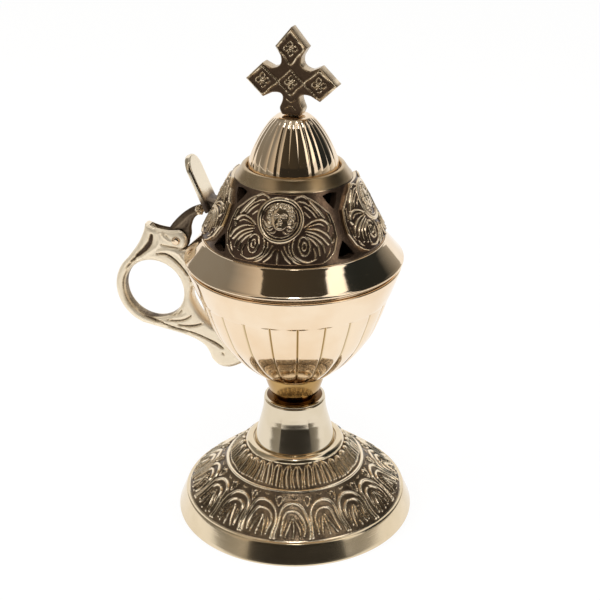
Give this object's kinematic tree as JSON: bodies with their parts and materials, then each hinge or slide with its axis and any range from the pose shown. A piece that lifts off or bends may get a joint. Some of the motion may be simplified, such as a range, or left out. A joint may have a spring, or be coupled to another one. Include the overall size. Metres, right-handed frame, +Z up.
{
  "type": "hand censer",
  "caption": "Footed brass hand censer with a fluted bowl, a pierced lid hinged at a finger-ring handle, a ribbed cap and a cross finial.",
  "frame": {"origin": "On the plane the foot stands on, under the middle of the whole censer's box. The upright axis of the foot and bowl is 11.2 mm from it towards +X.", "axes": "+Z up along the bowl's axis, -X towards the handle's finger ring, -Y towards one panel of the lid. The hinge axis is parallel to Y."},
  "size_m": [0.1064, 0.084, 0.1736],
  "materials": {
    "polished_brass": "polished pale brass",
    "patinated_brass": "cast brass, dark in the recesses and worn bright on the ridges",
    "rough_cast_brass": "cast brass, lightly rubbed",
    "dark_cast_brass": "rough cast brass, tarnished dark",
    "steel": "plain turned steel",
    "scorched_steel": "pressed sheet, darkened by heat"
  },
  "bodies": {
    "base": {"foot": "patinated_brass", "foot_neck": "polished_brass", "neck_collar": "polished_brass", "stem_bolt": "steel", "stem_washer": "steel", "stem_nut": "steel", "bowl": "polished_brass", "handle_screw_upper": "steel", "handle_screw_lower": "steel", "handle": "rough_cast_brass", "hinge_pin": "polished_brass"},
    "pan": {"charcoal_pan": "scorched_steel"},
    "lid": {"lid_shell": "patinated_brass", "lid_cap": "polished_brass", "cross_finial": "patinated_brass", "lid_stud": "steel", "lid_washer": "steel", "lid_nut": "steel", "thumb_plate": "polished_brass", "hinge_arm": "dark_cast_brass"}
  },
  "joints": [
    {"name": "lid_hinge", "type": "hinge", "parent": "base", "child": "lid", "pos_m": [-0.0298, 0, 0.0984], "axis": [0, -1, 0], "range_deg": [0, 80]},
    {"name": "pan_lift", "type": "slide", "parent": "base", "child": "pan", "axis": [0, 0, 1], "range_m": [0, 0.004]}
  ]
}
